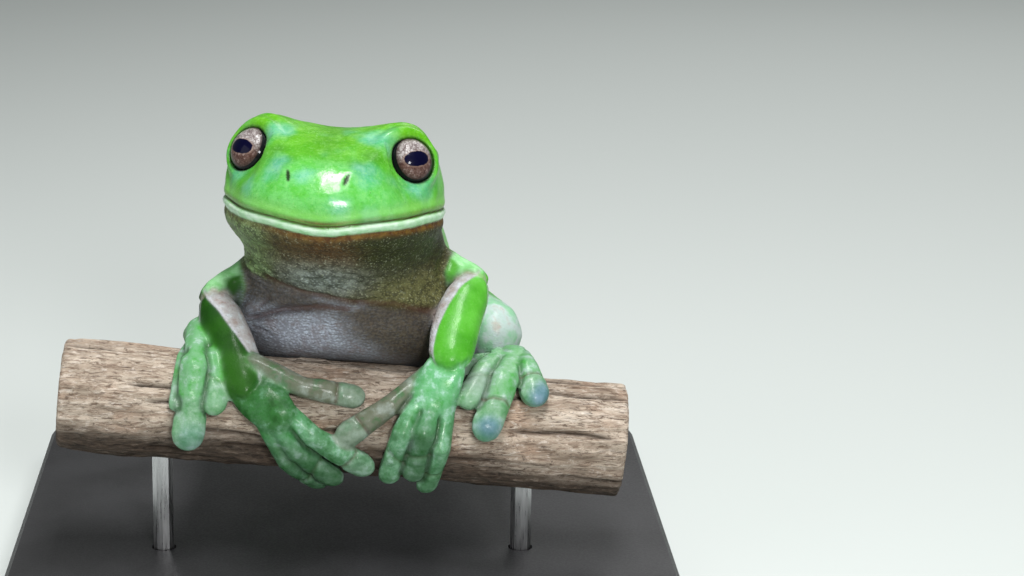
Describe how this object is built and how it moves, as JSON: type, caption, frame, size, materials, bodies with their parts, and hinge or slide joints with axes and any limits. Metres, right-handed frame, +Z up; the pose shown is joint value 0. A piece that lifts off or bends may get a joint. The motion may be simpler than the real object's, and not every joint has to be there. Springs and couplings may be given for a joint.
{
  "type": "green tree frog on a branch perch",
  "caption": "Life-size green tree frog gripping a cut length of branch, head raised and hind legs folded, on a plain display stand.",
  "frame": {"origin": "centre of the stand base's underside", "axes": "+Z up, -Y the way the frog faces, +X to the frog's own left along the branch"},
  "size_m": [0.1, 0.092, 0.0707],
  "materials": {
    "skin_green": "smooth, moist green skin with a soft shine",
    "skin_pale": "smooth, moist pale green skin",
    "eye": "clear wet gloss over a coppery iris and a dark level pupil",
    "bark": "dry, fibrous, weathered wood",
    "stand_paint": "smooth satin black paint",
    "stand_steel": "brushed"
  },
  "bodies": {
    "root": {"eye_l": "eye", "eye_r": "eye", "finger_l_1": "skin_pale", "finger_l_2": "skin_pale", "finger_l_3": "skin_pale", "finger_l_4": "skin_pale", "finger_r_1": "skin_pale", "finger_r_2": "skin_pale", "finger_r_3": "skin_pale", "finger_r_4": "skin_pale", "foot_l": "skin_pale", "foot_r": "skin_pale", "forearm_l": "skin_green", "forearm_r": "skin_green", "hand_l": "skin_pale", "hand_r": "skin_pale", "head": "skin_green", "lower_jaw": "skin_pale", "pelvis": "skin_green", "perch": "bark", "shank_l": "skin_green", "shank_r": "skin_green", "stand_base": "stand_paint", "stand_rod_l": "stand_steel", "stand_rod_r": "stand_steel", "tarsus_l": "skin_green", "tarsus_r": "skin_green", "thigh_l": "skin_green", "thigh_r": "skin_green", "throat": "skin_pale", "toe_l_1": "skin_pale", "toe_l_2": "skin_pale", "toe_l_3": "skin_pale", "toe_l_4": "skin_pale", "toe_l_5": "skin_pale", "toe_r_1": "skin_pale", "toe_r_2": "skin_pale", "toe_r_3": "skin_pale", "toe_r_4": "skin_pale", "toe_r_5": "skin_pale", "trunk": "skin_green", "upper_arm_l": "skin_green", "upper_arm_r": "skin_green"}
  },
  "joints": []
}
